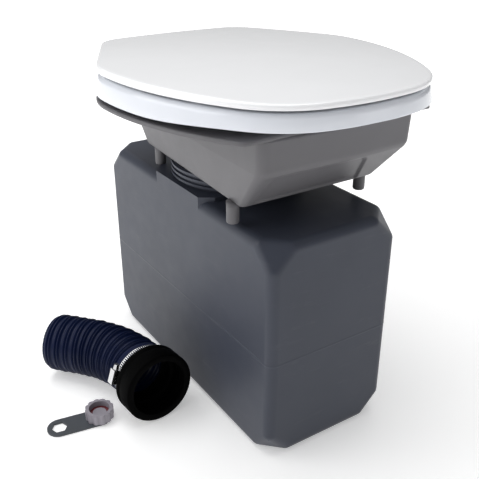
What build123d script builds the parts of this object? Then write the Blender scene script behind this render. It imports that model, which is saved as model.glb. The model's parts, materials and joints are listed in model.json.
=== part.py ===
from build123d import *
import os
from math import acos, cos, degrees, radians, sin

# Fixed-tank cassette toilet with its drain hose, tank cap and cap spanner.
# Millimetres. +Z is up, -Y is the front of the seat and the origin is the
# centre of the tank's base on the floor.

# Waste tank: a blow-moulded box with all eight corners sliced off.
tank_width = 185
tank_length = 424
tank_height = 294
tank_corner = 38
tank_round = 12
tank_wall = 4.5
pad_height = 6
pad_root = 20
neck_radius = 84
neck_rib = 3.5
neck_bore = 72
neck_height = 20
neck_ribs = 3

# Drain gate valve on the tank's back face.
drain_height = 56
drain_bore = 36
gasket_thickness = 2
drain_flange_width = 136
drain_flange_height = 86
drain_flange_thickness = 6
drain_screw_x = 58
drain_screw_z = 31
drain_screw_radius = 3
valve_width = 96
valve_depth = 24
valve_bottom = 9
valve_top = 186
gate_half = 40
gate_thickness = 4
gate_play = 0.3
gate_travel = 80
rod_radius = 3
spigot_radius = 38
spigot_wall = 4
spigot_length = 40

# Rinse port and vent.
port_x = 58
port_z = 235
port_radius = 12.5
port_bore = 9
port_length = 16
vent_x = 45
vent_y = 160
vent_stem = 7
vent_root = 6.6
vent_radius = 6
vent_bore = 4.5
vent_barb = 18
vent_rise = 16

# Pan: a tapered casing under a wide rim flange.
pan_bottom = tank_height + pad_height + neck_height + 2
pan_crease = 376
flange_bottom = 413
flange_top = 418
pan_wall = 4
pan_outlet = 50
peg_radius = 7.5
peg_foot = 298

# Waste valve between the bowl and the tank.
blade_bore = 42
blade_half_x = 54
blade_half_y = 50
blade_thickness = 4.4
blade_travel = 96
valve_floor = pan_bottom + pan_wall
base_plate = 5.5
blade_space = 5
top_plate = 5
stem_y = 20

# Seat, lid and their common hinge.
seat_half_width = 183
seat_widest_y = -12
side_radius = 356
side_turn = 31.4
shoulder_radius = 110
tip_radius = 320
back_radius = 110
back_turn = 25.5
corner_radius = 40
seat_back = 172
seat_bottom = 426
seat_top = 446
lid_bottom = 449.5
lid_edge = 456
lid_crown = 461
hinge_y = 186
hinge_z = 436
hinge_x = 68
stud_y = hinge_y - 3
knuckle_radius = 8
pin_radius = 4
pin_play = 0.08
post_width = 16
arm_width = 8
arm_gap = 1

# Drain hose, lying on the floor beside the tank.
hose_mouth = Vector(-164, -67, 49)
hose_heading = 94
hose_slope = -2
hose_core = 37.5
hose_inner = 34.5
rib_radius = 41
bend_radius = 161
bend_angle = 35
bend_groups = 7
run_length = 54
run_groups = 4
cuff_start = 33.5
cuff_length = 24
cuff_radius = 40.5
cuff_inner = 37
socket_radius = 38.2
connector_radius = 48.5
connector_length = 33
clamp_start = 36
clamp_width = 10
band_thickness = 1.2

# Cap spanner and tank cap.
spanner_eye = (-287, -13)
spanner_turn = -9.6
spanner_reach = 54
spanner_half = 16
spanner_thickness = 3
hex_across_flats = 18
cap_radius = 19
cap_lobes = 12
cap_height = 14
cap_cavity = 13.6

os.makedirs("parts", exist_ok=True)


def save(builder, name):
    """Label a finished piece and write its STEP file."""
    builder.part.label = name
    export_step(builder.part, f"parts/{name}.step")


def seat_line(grow=0.0, back=seat_back):
    """Draw the seat's plan outline, moved outwards by grow, in an open BuildLine."""
    half = seat_half_width + grow
    side_arc = side_radius + grow
    shoulder_arc = shoulder_radius + grow
    tip_arc = tip_radius + grow
    rear_arc = back_radius + grow
    corner_arc = corner_radius + grow
    reach = half - side_arc + (side_arc - shoulder_arc) * cos(radians(side_turn))
    front_turn = degrees(acos(reach / (tip_arc - shoulder_arc)))
    side = JernArc((half, seat_widest_y), (0, -1), side_arc, -side_turn)
    shoulder = JernArc(side @ 1, side % 1, shoulder_arc, side_turn - front_turn)
    tip = JernArc(shoulder @ 1, shoulder % 1, tip_arc, front_turn - 90)
    rear = JernArc((half, seat_widest_y), (0, 1), rear_arc, back_turn)
    corner_y = back + grow - corner_arc * (1 - sin(radians(back_turn)))
    run = (corner_y - (rear @ 1).Y) / cos(radians(back_turn))
    flank = Line(rear @ 1, rear @ 1 + (rear % 1) * run)
    corner = JernArc(flank @ 1, flank % 1, corner_arc, 90 - back_turn)
    Line(corner @ 1, (0, back + grow))
    Line((0, back + grow), tip @ 1)


def pan_line(front, front_half, back, back_half, bulge):
    """Draw the pan casing's plan at one height, in an open BuildLine."""
    ThreePointArc((-front_half, front), (0, front - bulge), (front_half, front))
    Polyline((front_half, front), (back_half, back), (-back_half, back), (-front_half, front))


def hose_point(angle):
    """Centre of the hose where the bend has turned through angle."""
    return bend_centre + (bend_start - bend_centre).rotate(Axis((0, 0, 0), hose_up), angle)


def hose_plane(angle):
    """Cross-section plane of the hose where the bend has turned through angle."""
    along = hose_along.rotate(Axis((0, 0, 0), hose_up), angle)
    return Plane(origin=hose_point(angle), z_dir=along)


# ---------------------------------------------------------------- waste tank
half_x = tank_width / 2
half_y = tank_length / 2
pad_top = tank_height + pad_height
neck_top = pad_top + neck_height


def slice_corners(width, length, low, high, cut):
    """Slice the eight corners off the box in the open BuildPart."""
    for side_x in (-1, 1):
        for side_y in (-1, 1):
            for side_z, level in ((-1, low), (1, high)):
                corner = Plane(
                    origin=(side_x * (width / 2 - cut), side_y * length / 2, level),
                    z_dir=(side_x, side_y, side_z),
                )
                split(bisect_by=corner, keep=Keep.BOTTOM)


with BuildPart() as tank_cavity:
    with BuildSketch(Plane.XY.offset(tank_wall)):
        Rectangle(tank_width - 2 * tank_wall, tank_length - 2 * tank_wall)
    extrude(amount=tank_height - 2 * tank_wall)
    slice_corners(
        tank_width - 2 * tank_wall,
        tank_length - 2 * tank_wall,
        tank_wall,
        tank_height - tank_wall,
        tank_corner - tank_wall / 2,
    )

with BuildPart() as tank_shell:
    with BuildSketch():
        Rectangle(tank_width, tank_length)
    extrude(amount=tank_height)
    slice_corners(tank_width, tank_length, 0, tank_height, tank_corner)
    fillet(tank_shell.edges(), tank_round)
    with BuildSketch(Plane.XY.offset(pad_top)):
        with BuildLine():
            Polyline(
                (-half_x, -55),
                (-75, -67),
                (75, -67),
                (half_x, -55),
                (half_x, 56),
                (76, 74),
                (-76, 74),
                (-half_x, 56),
                close=True,
            )
        make_face()
    extrude(amount=-pad_root)
    with BuildSketch(Plane.XY.offset(pad_top - pad_root / 2)):
        Circle(neck_radius)
    extrude(amount=pad_root / 2 + neck_height)
    for rib in range(neck_ribs):
        with BuildSketch(Plane.XY.offset(pad_top + 3 + rib * neck_height / neck_ribs)):
            Circle(neck_radius + neck_rib)
        extrude(amount=3)
    add(tank_cavity.part, mode=Mode.SUBTRACT)
    with BuildSketch(Plane.XY.offset(neck_top)):
        Circle(neck_bore)
    extrude(amount=-neck_height - pad_root, mode=Mode.SUBTRACT)
    # Blind bosses behind the back wall take the drain valve's screws.
    with BuildSketch(Plane.XZ.offset(-half_y + tank_wall / 2)):
        with Locations((0, drain_height)):
            with GridLocations(2 * drain_screw_x, 2 * drain_screw_z, 2, 2):
                Circle(7)
    extrude(amount=18)
    with BuildSketch(Plane.XZ.offset(-half_y)):
        with Locations((0, drain_height)):
            with GridLocations(2 * drain_screw_x, 2 * drain_screw_z, 2, 2):
                Circle(drain_screw_radius)
    extrude(amount=16, mode=Mode.SUBTRACT)
    with BuildSketch(Plane.XZ.offset(-half_y - 1)):
        with Locations((0, drain_height)):
            Circle(drain_bore)
    extrude(amount=12, mode=Mode.SUBTRACT)
    with BuildSketch(Plane.XZ.offset(-half_y - port_length)):
        with Locations((port_x, port_z)):
            Circle(port_radius)
    extrude(amount=port_length + tank_wall / 2)
    for turn in range(4):
        with BuildSketch(Plane.XZ.offset(-half_y - port_length + 1.5 + 3 * turn)):
            with Locations((port_x, port_z)):
                Circle(port_radius + 0.8)
        extrude(amount=1.5)
    with BuildSketch(Plane.XZ.offset(-half_y - port_length)):
        with Locations((port_x, port_z)):
            Circle(port_bore)
    extrude(amount=port_length + 2 * tank_wall, mode=Mode.SUBTRACT)
    with BuildSketch(Plane.XY.offset(tank_height)):
        with Locations((vent_x, vent_y)):
            Circle(vent_stem + 3)
    extrude(amount=-2 * tank_wall, mode=Mode.SUBTRACT)
save(tank_shell, "tank_shell")

with BuildPart() as neck_seal:
    with BuildSketch(Plane.XY.offset(neck_top)):
        Circle(neck_radius - 1)
        Circle(neck_bore - 8, mode=Mode.SUBTRACT)
    extrude(amount=pan_bottom - neck_top)
save(neck_seal, "neck_seal")

# ---------------------------------------------------- drain valve on the tank
gasket_face = half_y + gasket_thickness
valve_face = gasket_face + drain_flange_thickness
valve_back = valve_face + valve_depth
gate_centre = valve_face + valve_depth / 2

with BuildPart() as drain_gasket:
    with BuildSketch(Plane.XZ.offset(-gasket_face)):
        with Locations((0, drain_height)):
            Rectangle(drain_flange_width, drain_flange_height)
            Circle(drain_bore, mode=Mode.SUBTRACT)
            with GridLocations(2 * drain_screw_x, 2 * drain_screw_z, 2, 2):
                Circle(drain_screw_radius + 0.2, mode=Mode.SUBTRACT)
    extrude(amount=gasket_thickness)
save(drain_gasket, "drain_gasket")

with BuildPart() as drain_valve_body:
    with BuildSketch(Plane.XZ.offset(-valve_face)):
        with Locations((0, drain_height)):
            Rectangle(drain_flange_width, drain_flange_height)
            with GridLocations(2 * drain_screw_x, 2 * drain_screw_z, 2, 2):
                Circle(drain_screw_radius + 0.2, mode=Mode.SUBTRACT)
    extrude(amount=drain_flange_thickness)
    fillet(drain_valve_body.edges().filter_by(Axis.Y).group_by(Axis.X)[0], 8)
    fillet(drain_valve_body.edges().filter_by(Axis.Y).group_by(Axis.X)[-1], 8)
    with BuildSketch(Plane.XZ.offset(-valve_back)):
        with Locations((0, (valve_bottom + valve_top) / 2)):
            RectangleRounded(valve_width, valve_top - valve_bottom, 10)
    extrude(amount=valve_depth)
    with BuildSketch(Plane.XZ.offset(-valve_back - spigot_length)):
        with Locations((0, drain_height)):
            Circle(spigot_radius)
    extrude(amount=spigot_length)
    with BuildSketch(Plane.XZ.offset(-valve_back - spigot_length)):
        with Locations((0, drain_height)):
            Circle(spigot_radius - spigot_wall)
    extrude(amount=spigot_length + valve_depth + drain_flange_thickness, mode=Mode.SUBTRACT)
    gate_room = 2 * gate_half + gate_travel + 2 * gate_play
    with BuildSketch(Plane.XZ.offset(-gate_centre - gate_thickness / 2 - gate_play)):
        with Locations((0, drain_height - gate_half - gate_play + gate_room / 2)):
            Rectangle(2 * gate_half + 2 * gate_play, gate_room)
    extrude(amount=gate_thickness + 2 * gate_play, mode=Mode.SUBTRACT)
    with BuildSketch(Plane.XY.offset(valve_top)):
        with Locations((0, gate_centre)):
            Circle(rod_radius + pin_play)
    extrude(amount=-20, mode=Mode.SUBTRACT)
save(drain_valve_body, "drain_valve_body")

with BuildPart() as drain_screws:
    with BuildSketch(Plane.XZ.offset(-valve_face)):
        with Locations((0, drain_height)):
            with GridLocations(2 * drain_screw_x, 2 * drain_screw_z, 2, 2):
                Circle(drain_screw_radius - 0.05)
    extrude(amount=20)
    with BuildSketch(Plane.XZ.offset(-valve_face - 4)):
        with Locations((0, drain_height)):
            with GridLocations(2 * drain_screw_x, 2 * drain_screw_z, 2, 2):
                Circle(5.5)
    extrude(amount=4)
    with BuildSketch(Plane.XZ.offset(-valve_face - 4)):
        with Locations((0, drain_height)):
            with GridLocations(2 * drain_screw_x, 2 * drain_screw_z, 2, 2):
                RegularPolygon(2.5, 6)
    extrude(amount=2.5, mode=Mode.SUBTRACT)
save(drain_screws, "drain_screws")

with BuildPart() as drain_gate:
    with BuildSketch(Plane.XZ.offset(-gate_centre - gate_thickness / 2)):
        with Locations((0, drain_height)):
            Rectangle(2 * gate_half, 2 * gate_half)
    extrude(amount=gate_thickness)
    fillet(drain_gate.edges().filter_by(Axis.Y).group_by(Axis.Z)[0], 20)
save(drain_gate, "drain_gate")

rod_foot = drain_height + gate_half
rod_head = valve_top + 18

with BuildPart() as drain_rod:
    with BuildSketch(Plane.XY.offset(rod_foot)):
        with Locations((0, gate_centre)):
            Circle(rod_radius - 1.2)
    extrude(amount=valve_top - rod_foot - 19)
    with BuildSketch(Plane.XY.offset(valve_top - 20)):
        with Locations((0, gate_centre)):
            Circle(rod_radius)
    extrude(amount=rod_head - valve_top + 20)
save(drain_rod, "drain_rod")

with BuildPart() as drain_handle:
    with BuildSketch(Plane.XY.offset(rod_head)):
        with Locations((0, gate_centre)):
            SlotOverall(76, 16)
    extrude(amount=14)
    fillet(drain_handle.edges().group_by(Axis.Z)[-1], 4)
    with BuildSketch(Plane.XY.offset(rod_head)):
        with Locations((0, gate_centre)):
            Circle(7)
    extrude(amount=-8)
    with BuildSketch(Plane.XY.offset(rod_head - 8)):
        with Locations((0, gate_centre)):
            Circle(rod_radius)
    extrude(amount=8, mode=Mode.SUBTRACT)
save(drain_handle, "drain_handle")

# ------------------------------------------------------------------ tank vent
with BuildPart() as vent_grommet:
    with BuildSketch(Plane.XY.offset(tank_height - tank_wall)):
        with Locations((vent_x, vent_y)):
            Circle(vent_stem + 3)
            Circle(vent_stem, mode=Mode.SUBTRACT)
    extrude(amount=tank_wall)
    with BuildSketch(Plane.XY.offset(tank_height)):
        with Locations((vent_x, vent_y)):
            Circle(vent_stem + 5)
            Circle(vent_stem, mode=Mode.SUBTRACT)
    extrude(amount=2)
save(vent_grommet, "vent_grommet")

barb_start = vent_y + 12

with BuildPart() as vent_elbow:
    with BuildSketch(Plane.XY.offset(tank_height - 12)):
        with Locations((vent_x, vent_y)):
            Circle(vent_stem)
    extrude(amount=12 + vent_rise + 9)
    with BuildSketch(Plane.XZ.offset(-barb_start)):
        with Locations((vent_x, tank_height + vent_rise)):
            Circle(vent_root)
    extrude(amount=barb_start - vent_y)
    with BuildSketch(Plane.XZ.offset(-barb_start - vent_barb)):
        with Locations((vent_x, tank_height + vent_rise)):
            Circle(vent_radius)
    extrude(amount=vent_barb)
    with BuildSketch(Plane.XY.offset(tank_height - 12)):
        with Locations((vent_x, vent_y)):
            Circle(vent_bore + 0.6)
    extrude(amount=12 + vent_rise + 6, mode=Mode.SUBTRACT)
    with BuildSketch(Plane.XZ.offset(-barb_start - vent_barb)):
        with Locations((vent_x, tank_height + vent_rise)):
            Circle(vent_bore)
    extrude(amount=barb_start + vent_barb - vent_y, mode=Mode.SUBTRACT)
save(vent_elbow, "vent_elbow")

# ------------------------------------------------------------------------ pan
bowl_y = -38
stem_open = stem_y - blade_travel
blade_bottom = valve_floor + base_plate + (blade_space - blade_thickness) / 2

with BuildPart() as pan_cavity:
    for low, high in ((valve_floor, pan_crease), (pan_crease, flange_bottom)):
        with BuildSketch(Plane.XY.offset(low)):
            with BuildLine():
                if low == valve_floor:
                    pan_line(-152, 92, 101, 76, 0.5)
                else:
                    pan_line(-201, 101, 108, 92, 0.5)
            make_face()
        with BuildSketch(Plane.XY.offset(high)):
            with BuildLine():
                if high == pan_crease:
                    pan_line(-201, 101, 108, 92, 0.5)
                else:
                    pan_line(-203, 102, 121, 96, 0.5)
            make_face()
        loft(ruled=True)

with BuildPart() as pan_shell:
    with BuildSketch(Plane.XY.offset(pan_bottom)):
        with BuildLine():
            pan_line(-156, 96, 105, 80, 0.5)
        make_face()
    with BuildSketch(Plane.XY.offset(pan_crease)):
        with BuildLine():
            pan_line(-206, 105, 112, 96, 4)
        make_face()
    loft(ruled=True)
    with BuildSketch(Plane.XY.offset(pan_crease)):
        with BuildLine():
            pan_line(-206, 105, 112, 96, 4)
        make_face()
    with BuildSketch(Plane.XY.offset(flange_top)):
        with BuildLine():
            pan_line(-208, 106, 125, 100, 4)
        make_face()
    loft(ruled=True)
    # Shallow moulded recess in the sloping front.
    slope = Plane(origin=(0, -156, pan_bottom), x_dir=(1, 0, 0), z_dir=(0, -54, -50))
    with BuildSketch(slope.offset(-2)):
        with Locations((-30, 31)):
            RectangleRounded(108, 76, 8)
    extrude(amount=12, mode=Mode.SUBTRACT)
    for side in (-1, 1):
        with BuildSketch(Plane.XY.offset(peg_foot)):
            with Locations((side * 94, -137)):
                Circle(peg_radius)
        extrude(amount=pan_bottom - peg_foot + 30)
        with BuildSketch(Plane.XY.offset(peg_foot)):
            with Locations((side * 72, 82)):
                Circle(peg_radius)
        extrude(amount=pan_bottom - peg_foot + 2)
    with BuildSketch(Plane.XY.offset(flange_bottom)) as rim_plan:
        with BuildLine():
            seat_line(3, hinge_y + 1)
        make_face()
        mirror(about=Plane.YZ)
        with Locations((0, -409)):
            Rectangle(500, 400, mode=Mode.SUBTRACT)
        fillet(rim_plan.vertices().group_by(Axis.Y)[0], 10)
    extrude(amount=flange_top - flange_bottom)
    add(pan_cavity.part, mode=Mode.SUBTRACT)
    with BuildSketch(Plane.XY.offset(flange_bottom)):
        with Locations((0, bowl_y)):
            Ellipse(98, 155)
    extrude(amount=flange_top - flange_bottom, mode=Mode.SUBTRACT)
    with BuildSketch(Plane.XY.offset(pan_bottom)):
        Circle(pan_outlet)
    extrude(amount=pan_wall, mode=Mode.SUBTRACT)
    # Slot in the right wall for the waste valve's stem.
    with BuildSketch(Plane.XY.offset(blade_bottom - 1)):
        with Locations((95, (stem_y + stem_open) / 2)):
            Rectangle(30, blade_travel + 18)
    extrude(amount=blade_thickness + 2, mode=Mode.SUBTRACT)
    with BuildSketch(Plane.XY.offset(flange_bottom)):
        with Locations((-hinge_x, stud_y), (hinge_x, stud_y)):
            Circle(pin_radius + 0.3)
    extrude(amount=flange_top - flange_bottom, mode=Mode.SUBTRACT)
save(pan_shell, "pan_shell")

rim_height = 2.5
spigot_top = 352
throat_depth = blade_bore - 0.1
top_plate_top = valve_floor + base_plate + blade_space + top_plate

with BuildPart() as bowl_inside:
    with BuildSketch(Plane.XY.offset(spigot_top)):
        Ellipse(blade_bore, throat_depth)
    with BuildSketch(Plane.XY.offset(flange_top + rim_height)):
        with Locations((0, bowl_y)):
            Ellipse(89, 147)
    loft()

with BuildPart() as bowl:
    with BuildSketch(Plane.XY.offset(spigot_top)):
        Ellipse(blade_bore + 3, throat_depth + 3)
    with BuildSketch(Plane.XY.offset(flange_top + rim_height)):
        with Locations((0, bowl_y)):
            Ellipse(92, 150)
    loft()
    with BuildSketch(Plane.XY.offset(top_plate_top)):
        Ellipse(blade_bore + 3, throat_depth + 3)
    extrude(amount=spigot_top - top_plate_top)
    with BuildSketch(Plane.XY.offset(flange_top)):
        with Locations((0, bowl_y)):
            Ellipse(106, 161)
    extrude(amount=rim_height)
    add(bowl_inside.part, mode=Mode.SUBTRACT)
    with BuildSketch(Plane.XY.offset(top_plate_top)):
        Ellipse(blade_bore, throat_depth)
    extrude(amount=spigot_top - top_plate_top, mode=Mode.SUBTRACT)
save(bowl, "bowl")

# --------------------------------------------------- waste valve under the bowl
rail_bottom = valve_floor + base_plate
rail_width = 9

with BuildPart() as valve_base:
    with BuildSketch(Plane.XY.offset(valve_floor)):
        with Locations((0, -46)):
            Rectangle(2 * (blade_half_x + 1 + rail_width), 206)
        Circle(blade_bore, mode=Mode.SUBTRACT)
    extrude(amount=base_plate)
    with BuildSketch(Plane.XY.offset(rail_bottom)):
        with Locations((-blade_half_x - 0.5 - rail_width / 2, -46)):
            Rectangle(rail_width, 206)
        with Locations((blade_half_x + 0.5 + rail_width / 2, 44)):
            Rectangle(rail_width, 26)
        with Locations((blade_half_x + 0.5 + rail_width / 2, -119)):
            Rectangle(rail_width, 60)
        with Locations((0, 54)):
            Rectangle(2 * blade_half_x + 1, 6)
    extrude(amount=blade_space)
save(valve_base, "valve_base")

with BuildPart() as valve_cover:
    with BuildSketch(Plane.XY.offset(rail_bottom + blade_space)):
        with Locations((0, -46)):
            Rectangle(2 * (blade_half_x + 1 + rail_width), 206)
        Circle(blade_bore, mode=Mode.SUBTRACT)
    extrude(amount=top_plate)
    with BuildSketch(Plane.XY.offset(rail_bottom + blade_space)):
        Circle(blade_bore + 5)
    extrude(amount=2.5, mode=Mode.SUBTRACT)
    with BuildSketch(Plane.XY.offset(top_plate_top)):
        Circle(blade_bore + 7)
        Circle(blade_bore + 3.05, mode=Mode.SUBTRACT)
    extrude(amount=4)
save(valve_cover, "valve_cover")

with BuildPart() as valve_seal:
    with BuildSketch(Plane.XY.offset(blade_bottom + blade_thickness + 0.1)):
        Circle(blade_bore + 5)
        Circle(blade_bore + 0.2, mode=Mode.SUBTRACT)
    extrude(amount=rail_bottom + blade_space + 2.5 - blade_bottom - blade_thickness - 0.1)
save(valve_seal, "valve_seal")

with BuildPart() as waste_blade:
    with BuildSketch(Plane.XY.offset(blade_bottom)) as blade_plan:
        Rectangle(2 * blade_half_x, 2 * blade_half_y)
        fillet(blade_plan.vertices(), 6)
        with Locations((83, stem_y)):
            Rectangle(66, 14)
    extrude(amount=blade_thickness)
save(waste_blade, "waste_blade")

with BuildPart() as blade_knob:
    with BuildSketch(Plane.XY.offset(blade_bottom - 5)) as knob_plan:
        with Locations((111, stem_y)):
            Rectangle(18, 34)
        fillet(knob_plan.vertices(), 6)
    extrude(amount=blade_thickness + 10)
    fillet(blade_knob.edges().group_by(Axis.Z)[-1], 2.5)
    with BuildSketch(Plane.XY.offset(blade_bottom)):
        with Locations((108, stem_y)):
            Rectangle(16, 14)
    extrude(amount=blade_thickness, mode=Mode.SUBTRACT)
save(blade_knob, "blade_knob")

# --------------------------------------------------------- hinge on the rim
arm_inner = hinge_x - post_width / 2 - arm_gap
arm_outer = hinge_x + post_width / 2 + arm_gap

with BuildPart() as hinge_posts:
    for side in (-1, 1):
        with BuildSketch(Plane.YZ.offset(side * hinge_x - post_width / 2)):
            with Locations((hinge_y, hinge_z)):
                Circle(knuckle_radius)
            with Locations((hinge_y, (hinge_z + flange_top) / 2)):
                Rectangle(2 * knuckle_radius, hinge_z - flange_top)
            with Locations((hinge_y, hinge_z)):
                Circle(pin_radius, mode=Mode.SUBTRACT)
        extrude(amount=post_width)
        with BuildSketch(Plane.XY.offset(flange_top)):
            with Locations((side * hinge_x, stud_y)):
                Circle(pin_radius)
        extrude(amount=9, mode=Mode.SUBTRACT)
save(hinge_posts, "hinge_posts")

with BuildPart() as hinge_pins:
    for side in (-1, 1):
        with BuildSketch(Plane.YZ.offset(side * hinge_x - post_width / 2 - arm_gap - arm_width)):
            with Locations((hinge_y, hinge_z)):
                Circle(pin_radius)
        extrude(amount=post_width + 2 * (arm_gap + arm_width))
save(hinge_pins, "hinge_pins")

with BuildPart() as hinge_studs:
    with BuildSketch(Plane.XY.offset(flange_top + 9)):
        with Locations((-hinge_x, stud_y), (hinge_x, stud_y)):
            Circle(pin_radius)
    extrude(amount=-46)
save(hinge_studs, "hinge_studs")

with BuildPart() as stud_washers:
    with BuildSketch(Plane.XY.offset(flange_bottom)):
        with Locations((-hinge_x, stud_y), (hinge_x, stud_y)):
            Circle(9)
            Circle(pin_radius + 0.05, mode=Mode.SUBTRACT)
    extrude(amount=-1.5)
save(stud_washers, "stud_washers")

nut_top = flange_bottom - 1.5

with BuildPart() as wing_nuts:
    for side in (-1, 1):
        with BuildSketch(Plane.XY.offset(nut_top)):
            with Locations((side * hinge_x, stud_y)):
                Circle(8)
        extrude(amount=-9)
        with BuildSketch(Plane.XZ.offset(-stud_y - 1.5)):
            with Locations((side * hinge_x, nut_top - 8)):
                Rectangle(34, 14)
                with Locations((0, -6)):
                    Rectangle(14, 14, mode=Mode.SUBTRACT)
        extrude(amount=3)
        with BuildSketch(Plane.XY.offset(nut_top)):
            with Locations((side * hinge_x, stud_y)):
                Circle(pin_radius + 0.05)
        extrude(amount=-20, mode=Mode.SUBTRACT)
save(wing_nuts, "wing_nuts")

# ------------------------------------------------------------- seat and lid
seat_hole_y = -48

with BuildPart() as seat_ring:
    with BuildSketch(Plane.XY.offset(seat_bottom)):
        with BuildLine():
            seat_line(1)
        make_face()
        mirror(about=Plane.YZ)
        with Locations((0, seat_hole_y)):
            Ellipse(108, 142, mode=Mode.SUBTRACT)
    extrude(amount=seat_top - seat_bottom)
    fillet(seat_ring.edges().group_by(Axis.Z)[-1], 5)
    fillet(seat_ring.edges().group_by(Axis.Z)[0], 2)
    for side in (-1, 1):
        with BuildSketch(Plane.YZ.offset(side * (arm_inner - arm_width / 2) - arm_width / 2)):
            with Locations((hinge_y, hinge_z)):
                Circle(knuckle_radius)
            with Locations((hinge_y - 12, hinge_z)):
                Rectangle(24, 2 * knuckle_radius)
            with Locations((hinge_y, hinge_z)):
                Circle(pin_radius + pin_play, mode=Mode.SUBTRACT)
        extrude(amount=arm_width)
save(seat_ring, "seat_ring")

with BuildPart() as seat_buffers:
    with BuildSketch(Plane.XY.offset(flange_top)):
        for side in (-1, 1):
            with Locations((side * 148, -100), (side * 131, 85)):
                SlotOverall(36, 12, rotation=90)
    extrude(amount=seat_bottom - flange_top)
save(seat_buffers, "seat_buffers")

crown_radius = 4400

with BuildPart() as lid:
    with BuildSketch(Plane.XY.offset(lid_bottom)):
        with BuildLine():
            seat_line()
        make_face()
        mirror(about=Plane.YZ)
    extrude(amount=lid_crown - lid_bottom)
    with Locations((0, -42, lid_crown - crown_radius)):
        Sphere(crown_radius, mode=Mode.INTERSECT)
    fillet(lid.edges().group_by(Axis.Z)[0], 1.5)
    for side in (-1, 1):
        with BuildSketch(Plane.YZ.offset(side * (arm_outer + arm_width / 2) - arm_width / 2)):
            with BuildLine():
                Polyline(
                    (hinge_y - knuckle_radius, hinge_z),
                    (hinge_y - 8.5, 446.5),
                    (164, lid_bottom),
                    (164, 454),
                    (172, 454.5),
                    (192, 446),
                    (hinge_y + knuckle_radius, hinge_z),
                    close=True,
                )
            make_face()
            with Locations((hinge_y, hinge_z)):
                Circle(knuckle_radius)
                Circle(pin_radius + pin_play, mode=Mode.SUBTRACT)
        extrude(amount=arm_width)
save(lid, "lid")

with BuildPart() as lid_buffers:
    with BuildSketch(Plane.XY.offset(seat_top)):
        for side in (-1, 1):
            with Locations((side * 137, -150)):
                SlotOverall(36, 9, rotation=side * 64)
            with Locations((side * 131, 85)):
                SlotOverall(36, 9, rotation=side * -72)
    extrude(amount=lid_bottom - seat_top)
save(lid_buffers, "lid_buffers")

# ---------------------------------------------------------------- drain hose
hose_along = Vector(
    cos(radians(hose_heading)) * cos(radians(hose_slope)),
    sin(radians(hose_heading)) * cos(radians(hose_slope)),
    sin(radians(hose_slope)),
)
hose_up = (Vector(0, 0, 1) - hose_along * hose_along.Z).normalized()
bend_start = hose_mouth + hose_along * (cuff_start + cuff_length)
bend_centre = bend_start + hose_up.cross(hose_along) * bend_radius
bend_axis = Axis(bend_centre, hose_up)
mouth = Plane(origin=hose_mouth, x_dir=hose_up.cross(hose_along), z_dir=hose_along)
bend_step = bend_angle / bend_groups
run_step = run_length / run_groups
rib_share = 0.31

with BuildPart() as drain_hose:
    with BuildSketch(mouth.offset(cuff_start)):
        Circle(cuff_radius)
        Circle(cuff_inner, mode=Mode.SUBTRACT)
    extrude(amount=cuff_length)
    with BuildSketch(hose_plane(0)):
        Circle(hose_core)
        Circle(hose_inner, mode=Mode.SUBTRACT)
    revolve(axis=bend_axis, revolution_arc=bend_angle)
    with BuildSketch(hose_plane(bend_angle)):
        Circle(hose_core)
        Circle(hose_inner, mode=Mode.SUBTRACT)
    extrude(amount=run_length)
    for rib, height in ((0.05, rib_radius), (0.41, rib_radius - 0.6)):
        for group in range(bend_groups):
            with BuildSketch(hose_plane((group + rib) * bend_step)):
                Circle(height)
                Circle(hose_core - 1, mode=Mode.SUBTRACT)
            revolve(axis=bend_axis, revolution_arc=rib_share * bend_step)
        for group in range(run_groups):
            with BuildSketch(hose_plane(bend_angle).offset((group + rib) * run_step)):
                Circle(height)
                Circle(hose_core - 1, mode=Mode.SUBTRACT)
            extrude(amount=rib_share * run_step)
save(drain_hose, "drain_hose")

with BuildPart() as hose_connector:
    with BuildSketch(mouth):
        Circle(connector_radius)
    extrude(amount=connector_length)
    with BuildSketch(mouth.offset(connector_length)):
        Circle(cuff_inner - 0.3)
    extrude(amount=cuff_length - 4)
    with BuildSketch(mouth):
        Circle(socket_radius)
    extrude(amount=connector_length - 4, mode=Mode.SUBTRACT)
    with BuildSketch(mouth):
        Circle(cuff_inner - 3.5)
    extrude(amount=connector_length + cuff_length, mode=Mode.SUBTRACT)
save(hose_connector, "hose_connector")

with BuildPart() as clamp_band:
    with BuildSketch(mouth.offset(clamp_start)):
        Circle(cuff_radius + band_thickness)
        Circle(cuff_radius, mode=Mode.SUBTRACT)
    extrude(amount=clamp_width)
save(clamp_band, "clamp_band")

# The worm housing sits on the band towards the outer side of the hose.
housing_turn = 20
housing_length = 20
housing_height = 10
housing_x = cuff_radius + band_thickness
screw_reach = 17
screw_radius = 2.6
tangent = Plane(
    origin=mouth.from_local_coords(Vector(0, 0, clamp_start + clamp_width / 2)),
    x_dir=mouth.x_dir.rotate(Axis((0, 0, 0), mouth.z_dir), housing_turn),
    z_dir=mouth.z_dir,
)
worm = Plane(
    origin=tangent.from_local_coords(Vector(housing_x + 5.5, 0, 0)),
    x_dir=tangent.x_dir,
    z_dir=tangent.y_dir,
)

with BuildPart() as clamp_housing:
    with BuildSketch(tangent.offset(-clamp_width / 2)):
        with Locations((housing_x + housing_height / 2 - 1, 0)):
            Rectangle(housing_height + 2, housing_length)
    extrude(amount=clamp_width)
    with BuildSketch(tangent.offset(-clamp_width / 2 - 1)):
        Circle(housing_x)
    extrude(amount=clamp_width + 2, mode=Mode.SUBTRACT)
    with BuildSketch(worm.offset(-housing_length)):
        Circle(screw_radius + 0.1)
    extrude(amount=2 * housing_length, mode=Mode.SUBTRACT)
save(clamp_housing, "clamp_housing")

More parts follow.
